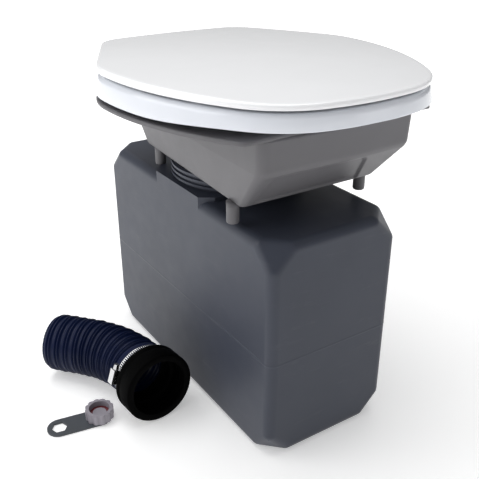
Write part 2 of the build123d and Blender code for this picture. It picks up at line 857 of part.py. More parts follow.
with BuildPart() as clamp_screw:
    with BuildSketch(worm.offset(-housing_length / 2)):
        Circle(screw_radius)
    extrude(amount=housing_length + 1)
    with BuildSketch(worm.offset(housing_length / 2 + 0.5)):
        RegularPolygon(4.2, 6)
    extrude(amount=screw_reach - housing_length / 2)
    with BuildSketch(worm.offset(screw_reach - 1.2)):
        Rectangle(9, 1.2)
    extrude(amount=3, mode=Mode.SUBTRACT)
save(clamp_screw, "clamp_screw")

# ------------------------------------------------------- spanner and tank cap
bench = Plane(origin=spanner_eye, x_dir=Vector(1, 0, 0).rotate(Axis.Z, spanner_turn), z_dir=(0, 0, 1))

with BuildPart() as spanner:
    with BuildSketch(bench) as spanner_plan:
        Circle(spanner_half)
        with Locations((spanner_reach / 2 + 4, 0)):
            Rectangle(spanner_reach + 8, 2 * spanner_half)
        fillet(spanner_plan.vertices().group_by(Axis.X)[-2:], 6)
        RegularPolygon(hex_across_flats / 2, 6, major_radius=False, mode=Mode.SUBTRACT)
    extrude(amount=spanner_thickness)
    fillet(spanner.edges().group_by(Axis.Z)[-1], 0.6)
save(spanner, "spanner")

cap_plane = bench.offset(spanner_thickness)

with BuildPart() as tank_cap:
    with BuildSketch(cap_plane):
        with Locations((spanner_reach, 0)):
            Circle(cap_radius - 1.6)
            with PolarLocations(cap_radius - 4.6, cap_lobes):
                Circle(4.6)
    extrude(amount=cap_height)
    with BuildSketch(cap_plane.offset(3)):
        with Locations((spanner_reach, 0)):
            Circle(cap_cavity)
    extrude(amount=cap_height, mode=Mode.SUBTRACT)
    with BuildSketch(cap_plane.offset(3)):
        with Locations((spanner_reach, 0)):
            Circle(9)
    extrude(amount=4)
save(tank_cap, "tank_cap")

with BuildPart() as cap_gasket:
    with BuildSketch(cap_plane.offset(3)):
        with Locations((spanner_reach, 0)):
            Circle(cap_cavity)
            Circle(9, mode=Mode.SUBTRACT)
    extrude(amount=3)
save(cap_gasket, "cap_gasket")
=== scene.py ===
import json
from math import acos, atan2, cos, hypot, pi, radians, sin, tan

import bpy
from mathutils import Matrix, Vector


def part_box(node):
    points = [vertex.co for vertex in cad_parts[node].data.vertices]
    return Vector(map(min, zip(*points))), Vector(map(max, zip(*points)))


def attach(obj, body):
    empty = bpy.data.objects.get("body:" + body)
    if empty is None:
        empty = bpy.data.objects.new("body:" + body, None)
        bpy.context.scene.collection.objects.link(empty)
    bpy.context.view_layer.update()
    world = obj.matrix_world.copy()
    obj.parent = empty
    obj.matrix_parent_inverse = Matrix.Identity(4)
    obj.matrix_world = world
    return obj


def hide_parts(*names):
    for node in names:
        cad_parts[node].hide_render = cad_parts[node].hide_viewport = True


# The looks of the cassette toilet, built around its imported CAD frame.
# Shapes are written in millimetres; the camera, the floor and the lights in metres.
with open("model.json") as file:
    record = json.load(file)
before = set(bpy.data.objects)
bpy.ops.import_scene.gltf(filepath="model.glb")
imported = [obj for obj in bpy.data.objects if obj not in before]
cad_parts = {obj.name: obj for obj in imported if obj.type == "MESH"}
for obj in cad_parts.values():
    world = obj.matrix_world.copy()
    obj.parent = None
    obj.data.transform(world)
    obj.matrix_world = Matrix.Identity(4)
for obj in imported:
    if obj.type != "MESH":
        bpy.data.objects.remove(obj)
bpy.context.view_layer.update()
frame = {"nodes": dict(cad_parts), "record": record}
scene = bpy.context.scene
MM = 0.001


def stated(entries, name):
    """The record's entry of that name."""
    return next(entry for entry in entries if entry["name"] == name)


record = frame["record"]
seat_hinge = stated(record["behaviour"]["joints"], "seat_hinge")
hose_socket = stated(record["mounts"], "hose_socket")


def box_mm(node):
    """A CAD node's box in millimetres."""
    low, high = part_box(node)
    return Vector(low) / MM, Vector(high) / MM


# ------------------------------------------------------------------ materials
MOTTLE_SCALE, SMUDGE_SCALE = 14, 45
ROUGHNESS_SPREAD = 0.15
GRAIN_STRENGTH = 0.5
COAT_ROUGHNESS = 0.08
SCUFF_STRETCH = (12, 8, 60)
SCUFF_START, SCUFF_FULL = 0.58, 0.8


def add_noise(material, vector, scale, detail):
    """A noise texture read at the given vector socket."""
    noise = material.node_tree.nodes.new("ShaderNodeTexNoise")
    noise.inputs["Scale"].default_value = scale
    noise.inputs["Detail"].default_value = detail
    material.node_tree.links.new(vector, noise.inputs["Vector"])
    return noise


def plastic(name, colour, roughness, grain, mottle, specular=0.5, metallic=0.0, coat=0.0):
    """A moulded surface: mottled colour, uneven roughness and a fine grain.

    grain is the grain's scale per metre and its height in millimetres, and mottle
    is the share of the colour by which it varies.
    """
    material = bpy.data.materials.new(name)
    material.use_nodes = True
    nodes = material.node_tree.nodes
    links = material.node_tree.links
    shader = nodes["Principled BSDF"]
    shader.inputs["Metallic"].default_value = metallic
    shader.inputs["Specular IOR Level"].default_value = specular
    shader.inputs["Coat Weight"].default_value = coat
    shader.inputs["Coat Roughness"].default_value = COAT_ROUGHNESS
    place = nodes.new("ShaderNodeTexCoord")

    clouds = add_noise(material, place.outputs["Object"], MOTTLE_SCALE, 5)
    tint = nodes.new("ShaderNodeValToRGB")
    dark = [c * (1 - mottle) for c in colour]
    light = [min(1.0, c * (1 + mottle)) for c in colour]
    tint.color_ramp.elements[0].position = 0.3
    tint.color_ramp.elements[0].color = (*dark, 1)
    tint.color_ramp.elements[1].position = 0.7
    tint.color_ramp.elements[1].color = (*light, 1)
    links.new(clouds.outputs["Fac"], tint.inputs["Fac"])
    links.new(tint.outputs["Color"], shader.inputs["Base Color"])

    smudges = add_noise(material, place.outputs["Object"], SMUDGE_SCALE, 6)
    sheen = nodes.new("ShaderNodeMapRange")
    sheen.inputs["To Min"].default_value = roughness * (1 - ROUGHNESS_SPREAD)
    sheen.inputs["To Max"].default_value = min(1.0, roughness * (1 + ROUGHNESS_SPREAD))
    links.new(smudges.outputs["Fac"], sheen.inputs["Value"])
    links.new(sheen.outputs["Result"], shader.inputs["Roughness"])

    grain_scale, grain_height = grain
    pits = add_noise(material, place.outputs["Object"], grain_scale, 2)
    bump = nodes.new("ShaderNodeBump")
    bump.inputs["Strength"].default_value = GRAIN_STRENGTH
    bump.inputs["Distance"].default_value = grain_height * MM
    links.new(pits.outputs["Fac"], bump.inputs["Height"])
    links.new(bump.outputs["Normal"], shader.inputs["Normal"])
    return material


def add_scuffs(material, colour, amount):
    """Faint pale rubbing marks drawn out along the length of a face."""
    nodes = material.node_tree.nodes
    links = material.node_tree.links
    shader = nodes["Principled BSDF"]
    base = shader.inputs["Base Color"].links[0].from_socket
    place = nodes.new("ShaderNodeTexCoord")
    stretch = nodes.new("ShaderNodeMapping")
    stretch.inputs["Scale"].default_value = SCUFF_STRETCH
    links.new(place.outputs["Object"], stretch.inputs["Vector"])
    streaks = add_noise(material, stretch.outputs["Vector"], 1.6, 8)
    streaks.inputs["Roughness"].default_value = 0.7
    where = nodes.new("ShaderNodeMapRange")
    where.inputs["From Min"].default_value = SCUFF_START
    where.inputs["From Max"].default_value = SCUFF_FULL
    where.inputs["To Max"].default_value = amount
    links.new(streaks.outputs["Fac"], where.inputs["Value"])
    mix = nodes.new("ShaderNodeMix")
    mix.data_type = "RGBA"
    mix.inputs["B"].default_value = (*colour, 1)
    links.new(where.outputs["Result"], mix.inputs["Factor"])
    links.new(base, mix.inputs["A"])
    links.new(mix.outputs["Result"], shader.inputs["Base Color"])


looks = {
    "tank_plastic": plastic(
        "tank_plastic", (0.04, 0.046, 0.066), 0.44, (700, 0.06), 0.05, specular=0.4
    ),
    "pan_plastic": plastic(
        "pan_plastic", (0.125, 0.122, 0.13), 0.45, (1400, 0.05), 0.03, specular=0.4
    ),
    "bowl_plastic": plastic("bowl_plastic", (0.26, 0.26, 0.27), 0.25, (300, 0.02), 0.03),
    "seat_plastic": plastic(
        "seat_plastic", (0.74, 0.765, 0.82), 0.16, (160, 0.02), 0.01, coat=0.4
    ),
    "lid_plastic": plastic("lid_plastic", (0.9, 0.905, 0.92), 0.18, (160, 0.02), 0.01, coat=0.4),
    "hinge_plastic": plastic("hinge_plastic", (0.8, 0.8, 0.82), 0.25, (400, 0.02), 0.02),
    "black_plastic": plastic("black_plastic", (0.02, 0.02, 0.022), 0.42, (1200, 0.06), 0.15),
    "knob_plastic": plastic("knob_plastic", (0.06, 0.063, 0.07), 0.38, (1200, 0.06), 0.1),
    "black_rubber": plastic(
        "black_rubber", (0.0007, 0.0007, 0.0008), 0.65, (1500, 0.08), 0.2, specular=0.03
    ),
    "buffer_rubber": plastic("buffer_rubber", (0.3, 0.31, 0.33), 0.65, (1500, 0.06), 0.06),
    "hose_plastic": plastic(
        "hose_plastic", (0.003, 0.008, 0.038), 0.38, (800, 0.05), 0.12, specular=0.2
    ),
    "steel": plastic("steel", (0.62, 0.62, 0.63), 0.24, (900, 0.03), 0.04, metallic=1.0),
    "spanner_plastic": plastic("spanner_plastic", (0.05, 0.057, 0.068), 0.5, (1300, 0.1), 0.12),
    "cap_plastic": plastic("cap_plastic", (0.3, 0.28, 0.32), 0.45, (1200, 0.05), 0.06),
    "red_rubber": plastic("red_rubber", (0.12, 0.012, 0.018), 0.5, (1200, 0.05), 0.15),
}
add_scuffs(looks["tank_plastic"], (0.1, 0.105, 0.125), 0.35)
add_scuffs(looks["pan_plastic"], (0.16, 0.157, 0.165), 0.2)
add_scuffs(looks["spanner_plastic"], (0.09, 0.1, 0.115), 0.4)

slot_of = {part["node"]: part["material_slot"] for part in record["subparts"]}
body_of = {
    node: body for body, members in record["behaviour"]["bodies"].items() for node in members
}
for node, thing in frame["nodes"].items():
    thing.data.materials.clear()
    thing.data.materials.append(looks[slot_of[node]])


# ---------------------------------------------------------------- mesh helpers
def make_piece(name, verts, faces, node):
    """A smooth mesh piece that stands for a CAD node, rides on its body and takes its slot."""
    mesh = bpy.data.meshes.new(name)
    mesh.from_pydata([Vector(v) * MM for v in verts], [], faces)
    mesh.update()
    for face in mesh.polygons:
        face.use_smooth = True
    piece = bpy.data.objects.new(name, mesh)
    scene.collection.objects.link(piece)
    mesh.materials.append(looks[slot_of[node]])
    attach(piece, body_of[node])
    return piece


def skin(rings, first="open", last="open"):
    """Join equal closed rings of points.

    An end is open, closed by a fan to its middle, or joined to the other end.
    """
    count = len(rings[0])
    verts = [tuple(p) for ring in rings for p in ring]
    faces = []
    spans = list(zip(range(len(rings) - 1), range(1, len(rings))))
    if first == "joined":
        spans.append((len(rings) - 1, 0))
    for low, high in spans:
        for i in range(count):
            j = (i + 1) % count
            faces.append((low * count + i, low * count + j, high * count + j, high * count + i))
    if first == "fan":
        middle = sum((Vector(p) for p in rings[0]), Vector()) / count
        verts.append(tuple(middle))
        faces += [((i + 1) % count, i, len(verts) - 1) for i in range(count)]
    if last == "fan":
        middle = sum((Vector(p) for p in rings[-1]), Vector()) / count
        verts.append(tuple(middle))
        start = (len(rings) - 1) * count
        faces += [(start + i, start + (i + 1) % count, len(verts) - 1) for i in range(count)]
    return verts, faces


def join(*parts):
    """One list of vertices and faces from several."""
    verts, faces = [], []
    for some_verts, some_faces in parts:
        shift = len(verts)
        verts += some_verts
        faces += [tuple(i + shift for i in face) for face in some_faces]
    return verts, faces


def rounding(radius, steps=6):
    """Pairs of inset and drop round a quarter circle, from the side to the flat."""
    turns = [radians(90 * i / steps) for i in range(steps + 1)]
    return [(radius * (1 - cos(t)), radius * (1 - sin(t))) for t in turns]


def smooth(t):
    """A step from 0 to 1 with soft ends, as t goes from 0 to 1."""
    t = max(0.0, min(1.0, t))
    return t * t * (3 - 2 * t)


def oval(points, middle_y, half_x, half_y, grow, z):
    """A ring round an oval opening, with a point towards each of the given points."""
    ring = []
    for p in points:
        turn = atan2((p.y - middle_y) / half_y, p.x / half_x)
        x, y = (half_x + grow) * cos(turn), middle_y + (half_y + grow) * sin(turn)
        ring.append((x, y, z))
    return ring


def give_wall(piece, thickness):
    """Thicken a sheet inwards and apply that to its mesh."""
    wall = piece.modifiers.new("wall", "SOLIDIFY")
    wall.thickness = thickness * MM
    wall.offset = -1
    bpy.context.view_layer.update()
    ready = piece.evaluated_get(bpy.context.evaluated_depsgraph_get())
    mesh = bpy.data.meshes.new_from_object(ready)
    piece.modifiers.clear()
    piece.data = mesh


# ---------------------------------------------------------------- seat and lid
# Half of the lid's plan: a flat tip, a shoulder and a long side, then a rear arc, a
# straight flank that leans in by BACK_TURN, a corner and a straight back.
SIDE_RADIUS, SIDE_TURN = 356, 31.4
SHOULDER_RADIUS, TIP_RADIUS = 110, 320
BACK_RADIUS, BACK_TURN, CORNER_RADIUS = 110, 25.5, 40
WIDEST_Y = -12
ARC_STEPS = 14
lid_high = box_mm("lid")[1]
lid_floor = box_mm("lid_buffers")[1].z
seat_low, seat_high = box_mm("seat_ring")
HINGE = Vector(seat_hinge["pos_m"]) / MM
LID_BACK = HINGE.y - 14


def arc_points(centre, radius, start, end):
    """Points along an arc, without its last one."""
    turns = [start + (end - start) * i / ARC_STEPS for i in range(ARC_STEPS)]
    return [centre + radius * Vector((cos(t), sin(t))) for t in turns]


def line_points(start, end, steps=7):
    """Points along a straight line, without its last one."""
    return [start.lerp(end, i / steps) for i in range(steps)]


def outline(grow=0.0, back=LID_BACK):
    """The lid's plan, moved outwards by grow, as a closed ring of (x, y)."""
    half = lid_high.x + grow
    side, shoulder, tip = SIDE_RADIUS + grow, SHOULDER_RADIUS + grow, TIP_RADIUS + grow
    rear, corner = BACK_RADIUS + grow, CORNER_RADIUS + grow
    turn, lean = radians(SIDE_TURN), radians(BACK_TURN)
    side_centre = Vector((half - side, WIDEST_Y))
    shoulder_centre = side_centre + (side - shoulder) * Vector((cos(turn), -sin(turn)))
    front = acos(shoulder_centre.x / (tip - shoulder))
    tip_centre = shoulder_centre - (tip - shoulder) * Vector((cos(front), -sin(front)))
    rear_centre = Vector((half - rear, WIDEST_Y))
    flank_start = rear_centre + rear * Vector((cos(lean), sin(lean)))
    flank_rise = back + grow - corner * (1 - sin(lean)) - flank_start.y
    flank_end = flank_start + flank_rise * Vector((-tan(lean), 1))
    corner_centre = flank_end - corner * Vector((cos(lean), sin(lean)))
    middle = Vector((0, back + grow))
    half_ring = arc_points(tip_centre, tip, -pi / 2, -front)
    half_ring += arc_points(shoulder_centre, shoulder, -front, -turn)
    half_ring += arc_points(side_centre, side, -turn, 0)
    half_ring += arc_points(rear_centre, rear, 0, lean)
    half_ring += line_points(flank_start, flank_end)
    half_ring += arc_points(corner_centre, corner, lean, pi / 2)
    half_ring += line_points(corner_centre + Vector((0, corner)), middle)
    half_ring.append(middle)
    mirrored = [Vector((-p.x, p.y)) for p in reversed(half_ring[1:-1])]
    return half_ring + mirrored


EYE_RADIUS, EYE_BORE = 8, 4.1


def arm(x_low, x_high, front_points):
    """A hinge arm from x_low to x_high: a bored eye that runs forwards into the given points."""
    turns = [radians(-90 + 15 * i) for i in range(13)]
    eye = [(HINGE.y + EYE_RADIUS * cos(t), HINGE.z + EYE_RADIUS * sin(t)) for t in turns]
    profile = eye + front_points
    hole = []
    for y, z in profile:
        turn = atan2(z - HINGE.z, y - HINGE.y)
        hole.append((HINGE.y + EYE_BORE * cos(turn), HINGE.z + EYE_BORE * sin(turn)))
    verts = []
    for x in (x_low, x_high):
        verts += [(x, y, z) for y, z in profile]
        verts += [(x, y, z) for y, z in hole]
    count = len(profile)
    faces = []
    for i in range(count):
        j = (i + 1) % count
        faces.append((i, j, j + count, i + count))
        faces.append((i + 3 * count, j + 3 * count, j + 2 * count, i + 2 * count))
        faces.append((j, i, i + 2 * count, j + 2 * count))
        faces.append((i + count, j + count, j + 3 * count, i + 3 * count))
    return verts, faces


def arm_pair(inner_x, outer_x, front_points):
    """The left and the right hinge arm of a lid or seat."""
    return [arm(-outer_x, -inner_x, front_points), arm(inner_x, outer_x, front_points)]


CROWN_RADIUS, CROWN_Y = 4400, -42
LID_LIP = ((-24, 2.2), (-16, 2), (-14.6, 1.4), (-14, 0), (-1.2, 0), (-0.4, 0.4), (0, 1.2))
LID_EDGE_RADIUS = 3.2
LID_ARM_X = (77, 85)
LID_ARM_FRONT = [
    (191, 448), (180, 451), (172, 454.5), (160, 454),
    (160, 451), (170, 449.8), (176, 447.5), (177.5, 444),
]


def crown(x, y):
    """Height of the lid's slightly domed top."""
    return lid_high.z - (x * x + (y - CROWN_Y) ** 2) / (2 * CROWN_RADIUS)


def make_lid():
    """The lid: a lip under its edge, a rounded edge, a domed top and two hinge arms."""
    rings = []
    for grow, rise in LID_LIP:
        rings.append([(p.x, p.y, lid_floor + rise) for p in outline(grow)])
    for inset, drop in rounding(LID_EDGE_RADIUS):
        rings.append([(p.x, p.y, crown(p.x, p.y) - drop) for p in outline(-inset)])
    for grow in (-8, -20):
        rings.append([(p.x, p.y, crown(p.x, p.y)) for p in outline(grow)])
    middle = Vector((0, CROWN_Y))
    for scale in (0.75, 0.6, 0.45, 0.3, 0.15, 0.05):
        ring = [middle + (p - middle) * scale for p in outline(-4)]
        rings.append([(p.x, p.y, crown(p.x, p.y)) for p in ring])
    parts = [skin(rings, first="fan", last="fan")] + arm_pair(*LID_ARM_X, LID_ARM_FRONT)
    piece = make_piece("lid_panel", *join(*parts), "lid")
    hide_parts("lid")


SKIRT_RISE, SKIRT_DROP = 2.5, 6
SKIRT_FRONT, SKIRT_RUN = -215, 130
SEAT_DISH = 2.5
SEAT_HOLE_Y, SEAT_HOLE_HALF_X, SEAT_HOLE_HALF_Y = -48, 108, 142
SEAT_ARM_X = (51, 59)
SEAT_ARM_FRONT = [(178, 444.5), (168, 444.5), (163, 443), (163, 429), (168, 428), (178, 428)]


def seat_hole(grow, z):
    """A ring round the seat's oval opening."""
    return oval(outline(1), SEAT_HOLE_Y, SEAT_HOLE_HALF_X, SEAT_HOLE_HALF_Y, grow, z)


def seat_skirt(grow, rise):
    """The skirt's lower edge, which hangs lower along the sides than at the front."""
    ring = []
    for p in outline(grow):
        drop = SKIRT_DROP * smooth((p.y - SKIRT_FRONT) / SKIRT_RUN)
        ring.append((p.x, max(p.y, seat_low.y), seat_low.z + SKIRT_RISE - drop + rise))
    return ring


def make_seat():
    """The seat: a ring with a skirt, a dished top round its opening and two hinge arms."""
    low, high = seat_low.z, seat_high.z
    rings = [[(p.x, p.y, low) for p in outline(-14)]]
    rings.append([(p.x, p.y, low + SKIRT_RISE) for p in outline(-4)])
    rings.append(seat_skirt(-3.5, 0.6))
    for inset, drop in rounding(1.5, 4)[::-1]:
        rings.append(seat_skirt(2.8 - inset, drop))
    for inset, drop in rounding(6.5, 7):
        rings.append([(p.x, p.y, high - drop) for p in outline(-inset)])
    outer = [(p.x, p.y) for p in outline(-9)]
    inner = seat_hole(9, high - SEAT_DISH)
    for share in (0.35, 0.6, 0.8):
        rings.append([
            (x + (hx - x) * share, y + (hy - y) * share, high - SEAT_DISH * share ** 2)
            for (x, y), (hx, hy, _) in zip(outer, inner)
        ])
    for inset, drop in rounding(8, 7)[::-1]:
        rings.append(seat_hole(inset, high - SEAT_DISH - drop))
    for inset, drop in rounding(3, 4):
        rings.append(seat_hole(inset, low + drop))
    parts = [skin(rings, first="joined")] + arm_pair(*SEAT_ARM_X, SEAT_ARM_FRONT)
    piece = make_piece("seat_shell", *join(*parts), "seat_ring")
    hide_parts("seat_ring")


make_lid()
make_seat()


# ------------------------------------------------------------------------- pan
EDGE_STEPS = (110, 50, 40, 50)
CORNER_STEPS = 12
BOW_DEPTH = 40


def corner_cut(before, here, after, radius):
    """The directions from a corner to its neighbours, its angle and how far its arc reaches."""
    to_before = (before - here).normalized()
    to_after = (after - here).normalized()
    angle = to_before.angle(to_after)
    return to_before, to_after, angle, radius * cos(angle / 2) / sin(angle / 2)


def rounded_plan(front, front_half, back, back_half, bow, radius, z):
    """The casing's plan at one height: four rounded corners and a gently bowed front."""
    places = ((-front_half, front), (front_half, front), (back_half, back), (-back_half, back))
    corners = [Vector(place) for place in places]
    cuts = [corner_cut(corners[n - 1], corners[n], corners[(n + 1) % 4], radius) for n in range(4)]
    ring = []
    for n, steps in enumerate(EDGE_STEPS):
        here, after = corners[n], corners[(n + 1) % 4]
        to_before, to_after, angle, reach = cuts[n]
        back_along, _, _, next_reach = cuts[(n + 1) % 4]
        centre = here + (to_before + to_after).normalized() * radius / sin(angle / 2)
        start = here + to_before * reach - centre
        for i in range(CORNER_STEPS):
            turn = (pi - angle) * i / CORNER_STEPS
            ring.append(centre + Matrix.Rotation(turn, 2) @ start)
        edge_start = here + to_after * reach
        edge_end = after + back_along * next_reach
        for i in range(steps):
            ring.append(edge_start.lerp(edge_end, i / steps))
    bowed = []
    for p in ring:
        share = max(0.0, 1 - (p.x / front_half) ** 2)
        fade = max(0.0, min(1.0, (front + BOW_DEPTH - p.y) / BOW_DEPTH))
        bowed.append((p.x, p.y - bow * share * fade, z))
    return bowed


PAN_BOTTOM = box_mm("neck_seal")[1].z
PAN_CREASE = PAN_BOTTOM + 54
PAN_WALL, PAN_EDGE_RADIUS, NECK_RADIUS = 3, 5, 50
FLANGE_BOTTOM = box_mm("stud_washers")[1].z
FLANGE_TOP = box_mm("pan_shell")[1].z

# The casing's plan at its bottom, crease and top: the front and its half width, the
# back and its half width, the front's bow and the radius of the corners.
PLAN_BOTTOM = (-156, 96, 105, 80, 0.5, 7)
PLAN_CREASE = (-206, 105, 112, 96, 4, 11)
PLAN_TOP = (-208, 106, 125, 100, 4, 11)
CREASE_SOFTNESS, CREASE_REACH, CREASE_FRONT = 1.2, 3, -190

RECESS_LEFT, RECESS_RIGHT, RECESS_FLARE = -84, 41, 0.6
RECESS_TOP, RECESS_DEPTH = 371.5, 3
RECESS_CORNER, RECESS_SLOPE = 9, 2.2
FRONT_FACE_Y, FRONT_FACE_HALF = -150, 88

blade_low, blade_high = box_mm("waste_blade")
SLOT_LOW, SLOT_HIGH = blade_low.z - 1, blade_high.z + 1
SLOT_FRONT, SLOT_BACK, SLOT_SIDE = -86, 30, 60

PEG_FOOT = box_mm("pan_shell")[0].z
PEG_PLACES = ((-94, -137), (94, -137), (-72, 82), (72, 82))
PEG_SIDES = 40
PEG_PROFILE = ((0.2, 0), (4.5, 0), (6.4, 0.7), (7.2, 1.6), (7.5, 3), (7.5, 20), (7.7, 27))

RIM_GROW, RIM_FRONT = 3, -209
BOWL_Y, BOWL_HALF_X, BOWL_HALF_Y = -38, 98, 155


def recess(x, z):
    """How deep the sloping front is set back at a point."""
    right = RECESS_RIGHT + RECESS_FLARE * (RECESS_TOP - z)
    dx = max(RECESS_LEFT + RECESS_CORNER - x, x - right + RECESS_CORNER, 0)
    dz = max(z - RECESS_TOP + RECESS_CORNER, 0)
    outside = hypot(dx, dz) - RECESS_CORNER
    return RECESS_DEPTH * smooth(-outside / RECESS_SLOPE)


def pan_ring(z, inset=0.0):
    """The casing's outer plan at height z, moved inwards by inset."""
    if z <= PAN_CREASE:
        share = (z - PAN_BOTTOM) / (PAN_CREASE - PAN_BOTTOM)
        below, above = PLAN_BOTTOM, PLAN_CREASE
    else:
        share = (z - PAN_CREASE) / (FLANGE_TOP - PAN_CREASE)
        below, above = PLAN_CREASE, PLAN_TOP
    plan = [low + (high - low) * share for low, high in zip(below, above)]
    front, half, back, back_half, bow, radius = plan
    front, half = front + inset, half - inset
    back, back_half = back - inset, back_half - inset
    return rounded_plan(front, half, back, back_half, bow, max(radius - inset, 2), z)


def pan_floor_rings():
    """The casing's bottom, from its neck out to its rounded lower edge."""
    rings = []
    edge = pan_ring(PAN_BOTTOM, PAN_EDGE_RADIUS)
    for share in (1.0, 0.55, 0.1):
        ring = []
        for x, y, z in edge:
            turn = atan2(y, x)
            neck_x, neck_y = NECK_RADIUS * cos(turn), NECK_RADIUS * sin(turn)
            ring.append((x + (neck_x - x) * share, y + (neck_y - y) * share, z))
        rings.append(ring)
    for inset, drop in rounding(PAN_EDGE_RADIUS, 5)[:0:-1]:
        z = PAN_BOTTOM + drop
        rings.append([(x, y, z) for x, y, _ in pan_ring(z, inset)])
    return rings


def pan_wall_ring(z):
    """The casing's side at height z, with the recess in its front and a softened crease."""
    ring = pan_ring(z)
    if z < PAN_CREASE:
        ring = [
            (x, y + (recess(x, z) if y < FRONT_FACE_Y and abs(x) < FRONT_FACE_HALF else 0), z)
            for x, y, z in ring
        ]
    soft = CREASE_SOFTNESS * max(0.0, 1 - abs(z - PAN_CREASE) / CREASE_REACH)
    return [(x, y + soft * (y < CREASE_FRONT), z) for x, y, z in ring]


def make_pan_casing():
    """The casing under the rim: a thin shell with a slot for the waste blade in its side."""
    levels = [327.4, 329, SLOT_LOW, 332.4, 334, 335.6, SLOT_HIGH]
    levels += [SLOT_HIGH + 1.45 * i for i in range(1, 25)]
    levels += [373.2, 374.3, 375.2, 376, 376.8, 377.7, 379, 382, 387, 393, 400, 406, 411, 414]
    verts, faces = skin(pan_floor_rings() + [pan_wall_ring(z) for z in levels])
    kept = []
    for face in faces:
        middle = sum((Vector(verts[i]) for i in face), Vector()) / len(face)
        in_height = SLOT_LOW < middle.z < SLOT_HIGH
        in_slot = middle.x > SLOT_SIDE and in_height and SLOT_FRONT < middle.y < SLOT_BACK
        if not in_slot:
            kept.append(face)
    casing = make_piece("pan_casing", verts, kept, "pan_shell")
    give_wall(casing, PAN_WALL)
    return casing


def make_pan_pegs():
    """The four round pegs that stand in the tank's deck."""
    turns = [2 * pi * i / PEG_SIDES for i in range(PEG_SIDES)]
    parts = []
    for x, y in PEG_PLACES:
        peg = []
        for radius, rise in PEG_PROFILE:
            peg.append([(x + radius * cos(t), y + radius * sin(t), PEG_FOOT + rise) for t in turns])
        parts.append(skin(peg, first="fan", last="fan"))
    return make_piece("pan_pegs", *join(*parts), "pan_shell")


def rim_edge(grow, z):
    """The rim's outline, cut straight across its front."""
    front = RIM_FRONT + (RIM_GROW - grow)
    return [(p.x, max(p.y, front), z) for p in outline(grow, HINGE.y + 1)]


def bowl_opening(grow, z):
    """A ring round the bowl's oval opening."""
    return oval(outline(RIM_GROW), BOWL_Y, BOWL_HALF_X, BOWL_HALF_Y, grow, z)


def make_pan_rim():
    """The flat rim round the bowl's opening."""
    rings = []
    for inset, drop in rounding(1.6, 4)[::-1]:
        rings.append(rim_edge(RIM_GROW - inset, FLANGE_BOTTOM + drop))
    for inset, drop in rounding(2.2, 5):
        rings.append(rim_edge(RIM_GROW - inset, FLANGE_TOP - drop))
    rings.append(rim_edge(-8, FLANGE_TOP))
    rings.append(bowl_opening(3, FLANGE_TOP))
    rings.append(bowl_opening(0.6, FLANGE_TOP - 0.6))
    rings.append(bowl_opening(0, FLANGE_BOTTOM))
    return make_piece("pan_rim", *skin(rings, first="joined"), "pan_shell")


def make_pan():
    """The pan, in three pieces."""
    casing = make_pan_casing()
    pegs = make_pan_pegs()
    rim = make_pan_rim()
    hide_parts("pan_shell")
    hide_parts("pan_shell")
    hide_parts("pan_shell")


make_pan()


# ------------------------------------------------------------------ drain hose
ALONG = -Vector(hose_socket["axis"]).normalized()
MOUTH = Vector(hose_socket["pos_m"]) / MM - ALONG * hose_socket["dims"]["length_mm"] / 2
UP = (Vector((0, 0, 1)) - ALONG * ALONG.z).normalized()
SIDE = UP.cross(ALONG)
BEND_RADIUS, BEND_TURN, RUN_LENGTH = 161, radians(35), 54
HOSE_LENGTH = BEND_RADIUS * BEND_TURN + RUN_LENGTH
CUFF_START, CUFF_END = 33.5, 57.5
VALLEY_RADIUS, BORE_RADIUS = 37.5, 34.6
RIB_GROUPS, OUTER_STEPS, INNER_STEPS = 11, 26, 8
HOSE_SIDES = 96

# The clamp's band across its width: distance from the connector's mouth and radius.
BAND_PROFILE = (
    (36.2, 41.35), (36.6, 41.6), (37.4, 41.6), (37.9, 41.3),
    (44.1, 41.3), (44.6, 41.6), (45.4, 41.6), (45.8, 41.35),
)
BAND_WALL, BAND_SIDES = 0.7, 360
PUNCHED_ROW, PUNCH_LEAN = 3, 0.006

SEAM_PROFILE = ((-0.4, 137.6), (0.1, 138.6), (0.25, 140), (0.1, 141.4), (-0.4, 142.4))
TANK_CORNER_RADIUS = 12


def hose_ring(distance, radius):
    """A ring of that radius round the hose, at a distance along it from the connector's mouth."""
    if distance <= CUFF_END:
        centre, across = MOUTH + ALONG * distance, SIDE
    else:
        turn = min((distance - CUFF_END) / BEND_RADIUS, BEND_TURN)
        start = MOUTH + ALONG * CUFF_END
        middle = start + SIDE * BEND_RADIUS
        spin = Matrix.Rotation(turn, 3, UP)
        past = distance - CUFF_END - turn * BEND_RADIUS
        centre, across = middle + spin @ (start - middle + ALONG * past), spin @ SIDE
    angles = (2 * pi * i / HOSE_SIDES for i in range(HOSE_SIDES))
    return [centre + radius * (cos(a) * across + sin(a) * UP) for a in angles]


def sleeve(profile):
    """A closed sleeve round the hose, from pairs of distance and radius."""
    return skin([hose_ring(distance, radius) for distance, radius in profile], first="joined")


def rib_height(share):
    """Height of the corrugation across one group: two rounded ribs and a deep valley."""
    first = smooth(1 - abs(share - 0.2) / 0.21)
    second = smooth(1 - abs(share - 0.57) / 0.2)
    return 3.5 * first + 2.9 * second


